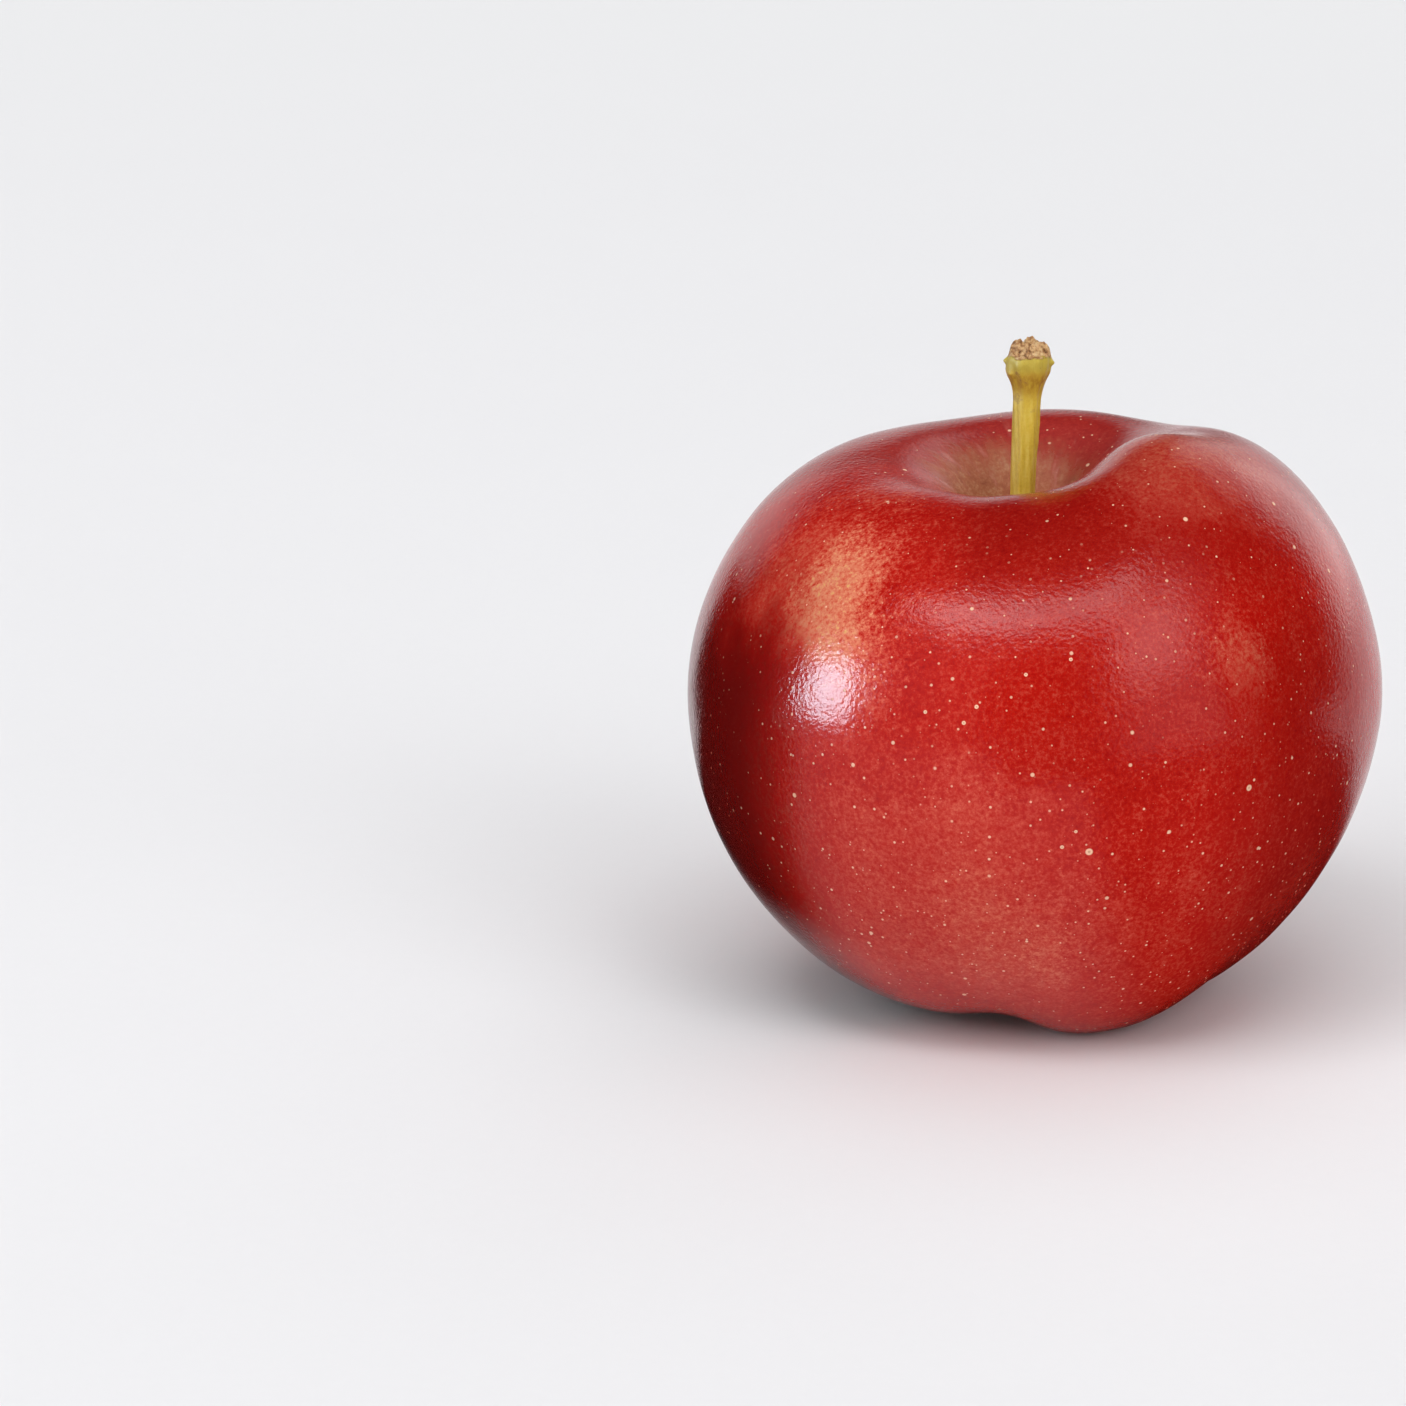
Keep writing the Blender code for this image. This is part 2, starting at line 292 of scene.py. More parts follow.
class Skin(Finish):
    """Red over a yellow ground, with the places and patterns that its parts share."""

    def __init__(self):
        super().__init__("red_skin")
        level = self.stretched(self.place, LEVEL)
        self.outwards = self.vector("NORMALIZE", level)
        self.reach = self.length(level)
        self.height = self.along("Z")
        self.from_stem = self.reach_from(CORE_SHIFT)
        self.broad = self.grain(self.place, 17 * MM, 3)
        self.blotches = self.grain(self.place, 6 * MM, 3, 0.55)
        self.mottle = self.grain(self.place, 1.3 * MM, 3, 0.65)
        self.speckle = self.grain(self.place, 0.45 * MM, 3, 0.75)
        self.wide_streaks = self.streaks(9, 25, 3)
        self.fine_streaks = self.streaks(40, 150, 3)
        self.short_streaks = self.streaks(9, 420, 4)
        self.ragged = sway(self.fine_streaks, 5) + sway(self.mottle, 8) + sway(self.speckle, 10)

    def reach_from(self, middle):
        """How far a point is, level with it, from the upright line through the middle."""
        return self.length(self.stretched(self.vector("SUBTRACT", self.place, middle), LEVEL))

    def streaks(self, count, drift, detail):
        """Noise drawn out from the stem to the calyx: count sets how narrow, drift how soon it changes."""
        upwards = self.stretched(self.place, (0, 0, drift))
        space = self.vector("MULTIPLY_ADD", self.outwards, (count,) * 3, upwards)
        return self.grain(space, 1, detail)

    def facing(self, turn):
        """1 where the skin faces that turn, and less the further it turns away."""
        return self.vector("DOT_PRODUCT", self.outwards, unit(turn), output="Value")

    def patch(self, turn, half_width, softness, low, high, edge):
        """1 inside a patch and 0 outside, with ragged edges."""
        aside = self.add("ShaderNodeMath", {"operation": "ARCCOSINE"}, {0: self.facing(turn)})
        across = self.rise(aside * DEGREES + self.ragged, half_width + softness, half_width - softness)
        uneven = self.height + sway(self.blotches, 12 * MM) + sway(self.speckle, 6 * MM)
        upwards = self.rise(uneven, low - edge, low + edge) * self.rise(uneven, high + edge, high - edge)
        return across * upwards

    def red(self):
        """The red with its pale patches and its patches of painted shade, and how much of it lies outside the
        painted shade.
        """
        cover = RED_COVER + sway(self.broad, 0.22) + sway(self.blotches, 0.10) + sway(self.wide_streaks, 0.10)
        cover = cover + sway(self.fine_streaks, 0.10) + sway(self.speckle, 0.78) + sway(self.mottle, 0.24)
        for patches, edge in ((PALE_PATCHES, PATCH_EDGE), (SOFT_PATCHES, SOFT_EDGE)):
            for *bounds, lack in patches:
                cover = cover - lack * self.patch(*bounds, edge) * (0.75 + 0.5 * self.fine_streaks)
        colour = self.ramp(cover, SKIN_COLOURS)
        light = 1
        # painted shade: deep red patches darken the left side, the band under the front rim and parts of the
        # front and right
        for *bounds, shade_strength in PAINTED_SHADE_PATCHES:
            share = shade_strength * self.patch(*bounds, SOFT_EDGE)
            colour = self.mix(share, colour, PAINTED_SHADE_RED)
            light = light * (1 - share)
        # painted shade: the top of the shoulder darkens to deep red, beginning higher on the left side
        left = self.rise(self.facing(LEFT_TURN), 0.72, 0.93)
        shoulder_shade = self.rise(self.height - 6 * MM * left, 48 * MM, 58 * MM)
        return self.mix(0.38 * shoulder_shade, colour, PAINTED_SHADE_RED), light

    def cavity(self, colour):
        """The stem cavity fades from red through short pink flecks to tan, and to olive by the stem."""
        inside = self.rise(self.height, *CAVITY_BEGINS)
        edge = self.reach_from(RUSSET_MIDDLE) + sway(self.short_streaks, 5 * MM) + sway(self.mottle, 3 * MM)
        russet = inside * self.rise(edge, 11 * MM, 4.5 * MM)
        tan = self.ramp(0.5 * self.mottle + 0.5 * self.speckle, RUSSETS)
        tan = self.mix(0.7 * self.rise(self.from_stem, 5.6 * MM, 3.2 * MM), tan, CAVITY_OLIVE)
        colour = self.mix(0.92 * russet, colour, tan)
        flecks = inside * self.rise(self.from_stem, 17 * MM, 9 * MM)
        colour = self.mix(0.36 * flecks * self.rise(self.short_streaks, 0.57, 0.78), colour, FLECK_PINK)
        # grey wax bloom and painted sheen on and around the rim of the cavity
        bloom_and_sheen = self.rise(self.height, 52 * MM, 56 * MM) * self.rise(self.from_stem, 19 * MM, 12 * MM)
        return self.mix(0.05 * bloom_and_sheen, colour, BLOOM_AND_SHEEN_GREY), russet

    def basin(self, colour):
        """The calyx basin is yellow-green with red tongues at its edge and grey down by the sepals."""
        inside = self.rise(self.height, *BASIN_BEGINS)
        green = inside * self.rise(self.reach + sway(self.short_streaks, 10 * MM), 12 * MM, 6.5 * MM)
        lumps = self.grain(self.place, 1.4 * MM, 3, 0.6)
        colour = self.mix(green, colour, self.ramp(0.5 * self.short_streaks + 0.5 * lumps, BASIN_GREENS))
        grey = inside * self.rise(self.reach, 8 * MM, 4 * MM) * self.rise(self.fine_streaks, 0.40, 0.62)
        return self.mix(0.45 * grey, colour, DOWN_GREY), green

    def lenticels(self):
        """Pale dots, each inside a cell of its own, and the brown hearts of the largest."""
        dots = 0
        for cell, radius, share, none, full in LENTICEL_LAYERS:
            chance = self.add("ShaderNodeSeparateColor", None, {0: self.cells(self.place, cell, "Color")}, 0)
            size = self.rise(chance, 1 - share, 1.05)
            away = self.cells(self.place, cell) * cell - sway(self.speckle, 0.06 * MM)
            dot = self.rise(away / (radius * (0.40 + 1.1 * size)), 1.15, 0.65)
            dot = dot * self.rise(size, 0.0, 0.02)
            dots = dot * self.rise(self.height, none, full) * (0.50 + 0.50 * size) + dots
        hearts = 0
        aimed = self.vector("NORMALIZE", self.vector("SUBTRACT", self.place, APPLE_MIDDLE))
        for turn, up, radius in LARGE_LENTICELS:
            spot = (unit(turn) * SKIN_REACH + Vector((0, 0, up)) - APPLE_MIDDLE).normalized()
            off = self.distance(aimed, spot) * SKIN_REACH
            dots = dots + self.rise(off, radius, 0.7 * radius)
            hearts = hearts + self.rise(off, 0.45 * radius, 0.2 * radius)
        return self.lesser(dots, 1), hearts


def skin_finish():
    skin = Skin()
    colour, light = skin.red()
    colour, russet = skin.cavity(colour)
    colour, green = skin.basin(colour)
    dull = russet + green
    bare = 1 - skin.rise(dull, 0.2, 0.7)
    dots, hearts = skin.lenticels()
    # the pale dots are fewer and fainter under the painted shade
    dots = dots * bare * (0.35 + 0.65 * light)
    colour = skin.mix(0.85 * dots, colour, LENTICEL_COLOUR)
    colour = skin.mix(0.55 * hearts, colour, LENTICEL_HEART)

    relief = skin.bump(skin.grain(skin.place, 2.6 * MM, 2), 0.040 * MM)
    relief = skin.bump(skin.grain(skin.place, 0.46 * MM, 2), 0.050 * MM, relief)
    relief = skin.bump(dots, 0.020 * MM, relief)
    relief = skin.bump(dull * skin.grain(skin.place, 0.7 * MM, 4, 0.65), 0.10 * MM, relief)
    return skin.shade(
        {
            "Base Color": colour,
            "Roughness": 0.15 + sway(skin.blotches, 0.05) + 0.30 * dots + 0.45 * dull,
            "Normal": relief,
            "IOR": 1.45,
            "Specular IOR Level": 0.28,
            "Coat Weight": 0.02 * bare,
            "Coat Roughness": 0.42,
            "Coat IOR": 1.45,
        }
    )


STEM_GREENS = ((0.30, (0.470, 0.310, 0.022)), (0.50, (0.640, 0.465, 0.055)), (0.70, (0.740, 0.610, 0.135)))
NECK_BROWN = (0.360, 0.170, 0.012)
KNOB_OLIVE = (0.420, 0.330, 0.045)
SCUFF_BROWN = (0.270, 0.120, 0.035)
# the olive of the painted shade at the foot of the stem
FOOT_SHADE_OLIVE = (0.300, 0.210, 0.030)
BROKEN_WOOD = (
    (0.32, (0.080, 0.030, 0.008)),
    (0.44, (0.300, 0.140, 0.050)),
    (0.54, (0.520, 0.310, 0.140)),
    (0.70, (0.680, 0.490, 0.260)),
)


def stem_finish():
    stem = Finish("green_stem")
    height = stem.along("Z")
    ribs = stem.grain(stem.stretched(stem.place, (1, 1, 0.08)), 0.35 * MM, 3, 0.6)
    patches = stem.grain(stem.place, 1.5 * MM, 3, 0.6)
    pores = stem.grain(stem.place, 0.25 * MM, 2, 0.6)
    colour = stem.ramp(0.45 * ribs + 0.35 * patches + 0.20 * pores, STEM_GREENS)
    neck = stem.rise(height, NECK_HEIGHT - 2.6 * MM, NECK_HEIGHT - 0.4 * MM)
    neck = neck * stem.rise(height, NECK_HEIGHT + 1.5 * MM, NECK_HEIGHT + 0.3 * MM)
    colour = stem.mix(0.80 * neck * stem.rise(ribs, 0.25, 0.60), colour, NECK_BROWN)
    knob = stem.rise(height, NECK_HEIGHT + 0.6 * MM, NECK_HEIGHT + 1.6 * MM)
    colour = stem.mix(0.70 * knob, colour, KNOB_OLIVE)
    scuffs = stem.rise(patches + sway(pores, 0.35), 0.60, 0.68)
    scuffs = scuffs * stem.rise(height, NECK_HEIGHT - 6 * MM, NECK_HEIGHT)
    colour = stem.mix(0.65 * scuffs, colour, SCUFF_BROWN)
    crumbs = stem.grain(stem.place, 0.55 * MM, 4, 0.65)
    break_edge = BREAK_HEIGHT + sway(stem.grain(stem.place, 1.0 * MM, 3, 0.6), 1.1 * MM)
    broken = stem.rise(height, break_edge - 0.12 * MM, break_edge + 0.12 * MM)
    colour = stem.mix(broken, colour, stem.ramp(crumbs, BROKEN_WOOD))
    # painted shade: the foot of the stem, down in the cavity, darkens to olive
    foot = stem.rise(height, FOOT_SHADE_HEIGHT, FOOT_SHADE_HEIGHT - 4 * MM)
    colour = stem.mix(0.55 * foot, colour, FOOT_SHADE_OLIVE)
    relief = stem.bump(ribs, 0.06 * MM)
    relief = stem.bump(pores, 0.03 * MM, relief)
    relief = stem.bump(broken * crumbs, 0.25 * MM, relief)
    return stem.shade(
        {
            "Base Color": colour,
            "Roughness": 0.48 + sway(patches, 0.15) + 0.3 * broken,
            "Normal": relief,
            "Specular IOR Level": 0.35,
            "Subsurface Weight": 0.12,
            "Subsurface Radius": (0.0012, 0.0009, 0.0003),
            "Subsurface Scale": 1.0,
        }
    )


SEPAL_TONES = (
    (0.32, (0.050, 0.045, 0.018)),
    (0.46, (0.150, 0.150, 0.050)),
    (0.60, (0.300, 0.280, 0.150)),
    (0.75, (0.440, 0.420, 0.320)),
)
THREAD_TONES = ((0.35, (0.045, 0.028, 0.014)), (0.65, (0.240, 0.150, 0.080)))
WOOL_TONES = ((0.30, (0.400, 0.380, 0.300)), (0.70, (0.660, 0.640, 0.560)))
WITHERED_BROWN = (0.140, 0.085, 0.035)


def dry_finish(name, tones, grain_size, relief_depth):
    """A dull, dry finish for the sepals, the stamens and the down."""
    dry = Finish(name)
    mottle = dry.grain(dry.place, grain_size, 4, 0.65)
    lines = dry.grain(dry.stretched(dry.place, (1, 1, 0.25)), grain_size / 3, 2)
    colour = dry.ramp(0.65 * mottle + 0.35 * lines, tones)
    withered = dry.rise(dry.grain(dry.place, 2.6 * MM, 2), 0.46, 0.60)
    colour = dry.mix(0.55 * withered, colour, WITHERED_BROWN)
    return dry.shade(
        {
            "Base Color": colour,
            "Roughness": 0.80 + sway(mottle, 0.2),
            "Normal": dry.bump(lines, relief_depth),
            "Specular IOR Level": 0.25,
            "Sheen Weight": 0.25,
            "Sheen Roughness": 0.5,
        }
    )


ROOM_PALE = 0.855  # how bright the camera sees the room, and the far floor
ROOM_COLOUR = (0.985, 0.990, 1.000)
PAPER_TONES = ((0.768, 0.762, 0.774), (0.790, 0.785, 0.794))
FLOOR_FADE_START = 0.20
FLOOR_FADE_END = 1.10
BLACK = (0, 0, 0)


def paper_finish():
    """Pale paper that fades with distance into the colour of the room, so that no horizon shows."""
    paper = Finish("pale_paper")
    fibres = paper.grain(paper.place, 1.5 * MM, 3)
    clouds = paper.grain(paper.place, 60 * MM, 2)
    colour = paper.mix(0.5 * fibres + 0.5 * clouds, *PAPER_TONES)
    far = paper.rise(paper.length(paper.place), FLOOR_FADE_START, FLOOR_FADE_END)
    return paper.shade(
        {
            "Base Color": paper.mix(far, colour, BLACK),
            "Emission Color": paper.mix(far, BLACK, ROOM_COLOUR),
            "Emission Strength": ROOM_PALE,
            "Roughness": 0.9,
            "Specular IOR Level": 0.1,
            "Normal": paper.bump(fibres, 0.02 * MM),
        }
    )


# ---------------------------------------------------------------- hand tools


def choose(piece):
    bpy.ops.object.select_all(action="DESELECT")
    piece.select_set(True)
    bpy.context.view_layer.objects.active = piece


def edit(piece):
    choose(piece)
    bpy.ops.object.mode_set(mode="EDIT")


def leave_edit():
    bpy.ops.object.mode_set(mode="OBJECT")


def apply_modifier(piece, kind, **settings):
    choose(piece)
    modifier = piece.modifiers.new(kind.title(), kind)
    for name, value in settings.items():
        setattr(modifier, name, value)
    bpy.ops.object.modifier_apply(modifier=modifier.name)


def smooth_out(piece, levels):
    apply_modifier(piece, "SUBSURF", levels=levels, render_levels=levels)


def move_points(piece, rule):
    """Moves each point of a mesh to where the rule says, from its place and normal."""
    points = piece.data.vertices
    places = [rule(point.co.copy(), point.normal.copy()) for point in points]
    points.foreach_set("co", [value for place in places for value in place])
    piece.data.update()


def settle(piece, finish, slot, *nodes):
    """The last step of each piece: smooth shading, its finish, and what it stands for in the frame."""
    choose(piece)
    bpy.ops.object.transform_apply(location=True, rotation=True, scale=True)
    bpy.ops.object.shade_smooth()
    piece.data.materials.clear()
    piece.data.materials.append(finish)
    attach(piece, "root")
    if nodes:
        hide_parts(*nodes)
    return piece


def ramp_between(value, start, end):
    share = min(1, max(0, (value - start) / (end - start)))
    return share * share * (3 - 2 * share)


def wobble(place, size, seed=0.0):
    """Smooth noise between about -1 and 1, whose waves are about as wide as size."""
    return noise.noise(place / size + Vector((seed, seed, seed)))


# ---------------------------------------------------------------- the fruit


RIM_LIFTS = (
    # turn about the stem, half its width in degrees, how far the rim of the cavity stands higher there
    (-96, 22, 0.95 * MM),
    (-132, 18, 0.50 * MM),
    (-62, 14, -0.35 * MM),
    (-30, 14, 0.70 * MM),
)
RIM_REACH = 13 * MM
RIM_WIDTH = 6.5 * MM
RIM_HEIGHTS = (45 * MM, 53 * MM)  # the heights between which the lifts come in
BASIN_TOP = 14 * MM
CAVITY_BOTTOM = 40 * MM
SKIN_SUBDIVISIONS = 2


def bell(turn, middle, half_width):
    """1 at the middle turn and near 0 past its half width, in degrees."""
    off = (math.degrees(turn) - middle + 180) % 360 - 180
    return math.exp(-((off / half_width) ** 2))


def shape_fruit(finish):
    """The frame's fruit as one smooth skin, with the small unevenness of a grown surface."""
    fruit = bpy.data.objects.new("fruit_skin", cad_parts["fruit"].data.copy())
    bpy.context.collection.objects.link(fruit)
    edit(fruit)
    bpy.ops.mesh.select_all(action="SELECT")
    bpy.ops.mesh.remove_doubles(threshold=MERGE_DISTANCE)
    bpy.ops.mesh.tris_convert_to_quads(face_threshold=math.pi, shape_threshold=math.pi)
    bpy.ops.mesh.customdata_custom_splitnormals_clear()
    leave_edit()
    smooth_out(fruit, SKIN_SUBDIVISIONS)

    def grown(place, normal):
        """Adds small waves, the pleats of the basin and of the cavity, and the lifts of the rim."""
        turn = math.atan2(place.y, place.x)
        reach = math.hypot(place.x, place.y)
        off_core = place - CORE_SHIFT
        about_stem = math.atan2(off_core.y, off_core.x)
        from_stem = math.hypot(off_core.x, off_core.y)
        lift = sum(rise * bell(about_stem, middle, half_width) for middle, half_width, rise in RIM_LIFTS)
        lift *= math.exp(-(((from_stem - RIM_REACH) / RIM_WIDTH) ** 2)) * ramp_between(place.z, *RIM_HEIGHTS)
        clear_of_floor = ramp_between(place.z, 0.6 * MM, 4 * MM)
        out = 0.10 * MM * wobble(place, 13 * MM) + 0.045 * MM * wobble(place, 5 * MM, 3)
        if place.z < BASIN_TOP and reach < 14 * MM:
            deep = ramp_between(reach, 13.5 * MM, 8 * MM) * ramp_between(reach, 3.2 * MM, 5 * MM)
            pleats = math.cos(10 * turn + 2.1 * wobble(place, 6 * MM, 7)) + 0.5 * math.cos(23 * turn + 1)
            out = out * clear_of_floor + deep * (0.13 * MM * pleats + 0.12 * MM * wobble(place, 1.2 * MM, 5))
        elif place.z > CAVITY_BOTTOM and from_stem < 15 * MM:
            deep = ramp_between(from_stem, 14 * MM, 5 * MM) * ramp_between(from_stem, 2.2 * MM, 4 * MM)
            pleats = math.cos(9 * turn + 2 * wobble(place, 5 * MM, 9))
            out += deep * (0.07 * MM * pleats + 0.05 * MM * wobble(place, 1.3 * MM, 11))
            out *= ramp_between(from_stem, 2.0 * MM, 3.2 * MM)
        else:
            out *= clear_of_floor
        return place + normal * out + Vector((0, 0, lift))

    move_points(fruit, grown)
    return settle(fruit, finish, "red_skin", "fruit")


# ---------------------------------------------------------------- the stem

STEM_LOW, STEM_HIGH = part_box("stem")
STEM_FOOT = Vector((CORE_SHIFT.x, CORE_SHIFT.y, STEM_LOW.z))
STEM_LENGTH = STEM_HIGH.z - STEM_LOW.z
STEM_LEAN = 0.8 * MM
STEM_SIDES = 48
STEM_OUTLINE = (
    # share of its length, radius
    (0.000, 1.60 * MM),
    (0.030, 1.62 * MM),
    (0.100, 1.50 * MM),
    (0.200, 1.36 * MM),
    (0.320, 1.29 * MM),
    (0.450, 1.30 * MM),
    (0.580, 1.38 * MM),
    (0.690, 1.46 * MM),
    (0.750, 1.46 * MM),
    (0.795, 1.52 * MM),
    (0.830, 1.70 * MM),
    (0.858, 2.04 * MM),
    (0.880, 2.30 * MM),
    (0.902, 2.44 * MM),
    (0.925, 2.46 * MM),
    (0.945, 2.34 * MM),
    (0.958, 2.16 * MM),
)
CROWN_STEPS = (
    # how far in from the last ring, how far up
    (0.20 * MM, 0.10 * MM),
    (0.30 * MM, 0.30 * MM),
    (0.35 * MM, 0.22 * MM),
    (0.40 * MM, 0.20 * MM),
    (0.45 * MM, 0.10 * MM),
)
NECK_HEIGHT = STEM_LOW.z + 0.855 * STEM_LENGTH
BREAK_HEIGHT = STEM_LOW.z + 0.946 * STEM_LENGTH
FOOT_SHADE_HEIGHT = STEM_LOW.z + 0.36 * STEM_LENGTH
STEM_SPURS = (
    # turn, height up the stem as a share, how far it sticks out
    (184, 0.925, 0.34 * MM),
    (-12, 0.918, 0.32 * MM),
    (215, 0.880, 0.20 * MM),
    (60, 0.900, 0.26 * MM),
)
SPUR_WIDTH = 9  # degrees
SPUR_HEIGHT = 0.010  # share of the stem's length
CROWN_BEGINS = (0.945, 0.968)
CROWN_PEAKS = (
    # turn, half its width in degrees, how far it rises
    (86, 30, 0.80 * MM),
    (168, 20, 0.75 * MM),
    (16, 22, 0.55 * MM),
    (-60, 26, -0.30 * MM),
    (-125, 22, -0.25 * MM),
)


def stem_middle(share):
    return STEM_FOOT + Vector((STEM_LEAN * share**1.3, 0, STEM_LENGTH * share))


def shape_stem(finish):
    """A stalk extruded ring by ring to its knob, whose broken top is inset step by step and then crumbled."""
    first_radius = STEM_OUTLINE[0][1]
    bpy.ops.object.select_all(action="DESELECT")
    bpy.ops.mesh.primitive_circle_add(
        vertices=STEM_SIDES, radius=first_radius, fill_type="NGON", location=STEM_FOOT
    )
    stem = bpy.context.object
    stem.name = "stem_bark"
    edit(stem)
    bpy.ops.mesh.select_all(action="SELECT")
    bpy.ops.mesh.flip_normals()
    for (low_share, low_radius), (share, radius) in zip(STEM_OUTLINE, STEM_OUTLINE[1:]):
        rise = stem_middle(share) - stem_middle(low_share)
        bpy.ops.mesh.extrude_region_move(TRANSFORM_OT_translate={"value": rise})
        wider = radius / low_radius
        bpy.ops.transform.resize(value=(wider, wider, 1), center_override=stem_middle(share))
    for inwards, upwards in CROWN_STEPS:
        bpy.ops.mesh.inset(thickness=inwards, depth=0)
        bpy.ops.transform.translate(value=(0, 0, upwards))
    bpy.ops.mesh.poke()
    bpy.ops.mesh.select_all(action="SELECT")
    bpy.ops.mesh.normals_make_consistent(inside=False)
    leave_edit()
    choose(stem)
    bpy.ops.object.transform_apply(location=True, rotation=True, scale=True)
    smooth_out(stem, 2)

    def rough(place, normal):
        share = (place.z - STEM_LOW.z) / STEM_LENGTH
        middle = stem_middle(min(1, max(0, share)))
        across = place - middle
        turn = math.atan2(across.y, across.x)
        reach = math.hypot(across.x, across.y)
        outwards = Vector((math.cos(turn), math.sin(turn), 0))
        side = ramp_between(reach, 0.6 * MM, 1.2 * MM)
        ribs = 0.045 * MM * math.cos(7 * turn + 0.6) + 0.025 * MM * math.cos(13 * turn + 30 * share)
        lumps = 0.09 * MM * wobble(place, 2.6 * MM, 2) + 0.05 * MM * wobble(place, 0.9 * MM, 4)
        knob = ramp_between(share, 0.84, 0.90)
        out = (ribs + lumps * (0.6 + 1.6 * knob)) * side * ramp_between(share, 0.05, 0.15)
        for spur_turn, spur_share, spur_reach in STEM_SPURS:
            near = bell(turn, spur_turn, SPUR_WIDTH) * math.exp(-(((share - spur_share) / SPUR_HEIGHT) ** 2))
            out += spur_reach * near * side
        rim = ramp_between(reach, 0.4 * MM, 1.5 * MM)
        up = sum(rise * bell(turn, middle, half_width) for middle, half_width, rise in CROWN_PEAKS) * rim
        up += 0.42 * MM * wobble(place, 0.8 * MM, 6) + 0.30 * MM * wobble(place, 0.36 * MM, 8) - 0.05 * MM
        return place + outwards * out + Vector((0, 0, up * ramp_between(share, *CROWN_BEGINS)))

    move_points(stem, rough)
    return settle(stem, finish, "green_stem", "stem")


# ---------------------------------------------------------------- the calyx

SEPAL_COUNT = 5
SEPAL_TURNS = [turn + HALF_LOBE for turn in FOOT_TURNS]
SEPAL_ROOT = Vector((4.4 * MM, 0, 6.9 * MM))
SEPAL_WIDTH = 3.6 * MM
SEPAL_THICKNESS = 0.35 * MM
SEPAL_ROWS = 14
SEPAL_COLUMNS = 8
SEPAL_LINE = (
    # inwards from the root and down from it, along the middle of the blade
    (-0.35 * MM, -0.55 * MM),
    (0.10 * MM, 0.60 * MM),
    (0.85 * MM, 1.60 * MM),
    (1.75 * MM, 2.25 * MM),
    (2.55 * MM, 2.75 * MM),
    (2.85 * MM, 3.75 * MM),
)


def along_line(line, share):
    """The point at a share of the way along a smooth line through some points."""
    place = share * (len(line) - 1)
    first = min(int(place), len(line) - 2)
    step = place - first
    points = [Vector(line[min(max(first + shift, 0), len(line) - 1)]) for shift in (-1, 0, 1, 2)]
    before, here, after, last = points
    bend = (after - before) * step
    bend += (2 * before - 5 * here + 4 * after - last) * step**2
    bend += (3 * here - before - 3 * after + last) * step**3
    return here + bend / 2


def shape_sepal(number, finish):
    """A dry blade that leans in over the eye, with wavy edges and a tip that turns down and curls."""
    chance = random.Random(100 + number)
    bpy.ops.object.select_all(action="DESELECT")
    bpy.ops.mesh.primitive_grid_add(x_subdivisions=SEPAL_ROWS, y_subdivisions=SEPAL_COLUMNS, size=1)
    sepal = bpy.context.object
    sepal.name = f"woolly_sepal_{number}"
    twist = chance.uniform(-0.35, 0.35)
    longer = chance.uniform(0.9, 1.12)
    seed = chance.uniform(0, 50)
    spin = Matrix.Rotation(math.radians(SEPAL_TURNS[number - 1]), 3, "Z")

    def blade(place, normal):
        share = place.x + 0.5
        side = place.y * 2
        inwards, down = along_line(SEPAL_LINE, share)
        width = SEPAL_WIDTH / 2 * (0.72 + 1.15 * share - 1.75 * share**2)  # widest a third of the way along
        width *= 1 + 0.16 * wobble(Vector((share * 5, side, seed)), 1)
        cup = 0.30 * MM * side * side * (1 - share)
        curl = 0.35 * MM * wobble(Vector((share * 3, side * 1.5, seed + 9)), 1)
        outwards = SEPAL_ROOT.x - inwards * longer + cup + curl
        up = SEPAL_ROOT.z - down * longer + twist * share * side * MM
        return spin @ Vector((outwards, side * width, up))

    move_points(sepal, blade)
    apply_modifier(sepal, "SOLIDIFY", thickness=SEPAL_THICKNESS, offset=0)
    smooth_out(sepal, 1)

    def woolly(place, normal):
        return place + normal * (0.07 * MM * wobble(place, 0.45 * MM, seed))

    move_points(sepal, woolly)
    return settle(sepal, finish, "dried_calyx", f"sepal_{number}")


def shape_strand(sides, steps, radius, length, bend, tip):
    """A thread that stands on the origin, thins towards its tip and bends towards +X."""
    bpy.ops.object.select_all(action="DESELECT")
    bpy.ops.mesh.primitive_circle_add(vertices=sides, radius=radius, fill_type="NGON")
    strand = bpy.context.object
    edit(strand)
    bpy.ops.mesh.select_all(action="SELECT")
    bpy.ops.mesh.flip_normals()
    end = Vector((0, 0, 0))
    heading = 0.0
    thin = tip ** (1 / steps)
    for _ in range(steps):
        heading += bend / steps
        step = Vector((math.sin(heading), 0, math.cos(heading))) * length / steps
        end = end + step
        bpy.ops.mesh.extrude_region_move(TRANSFORM_OT_translate={"value": step})
        bpy.ops.transform.resize(value=(thin,) * 3, center_override=end)
    bpy.ops.mesh.select_all(action="SELECT")
    bpy.ops.mesh.normals_make_consistent(inside=False)
    leave_edit()
    return strand


def plant(name, strand, places):
    """One piece made of copies of a strand, each turned and placed. The strand itself is removed."""
    crop = bmesh.new()
    for matrix in places:
        copy = strand.data.copy()
        copy.transform(matrix)
        crop.from_mesh(copy)
        bpy.data.meshes.remove(copy)
    mesh = bpy.data.meshes.new(name)
    crop.to_mesh(mesh)
    crop.free()
    bpy.data.objects.remove(strand)
    piece = bpy.data.objects.new(name, mesh)
    bpy.context.collection.objects.link(piece)
    return piece


STAMEN_COUNT = 22
STAMEN_STEP = 2.4  # radians from one to the next, so that they fill the eye evenly
STAMEN_REACH = 1.25 * MM
DOWN_TOP = 12 * MM
DOWN_REACHES = (3.4 * MM, 9.5 * MM)
DOWN_SHARE = 0.34  # of the faces near the sepals that carry a hair
WOOL_SHARE = 0.30
WOOL_TOP = 6.8 * MM
FULL_TURN = 6.3


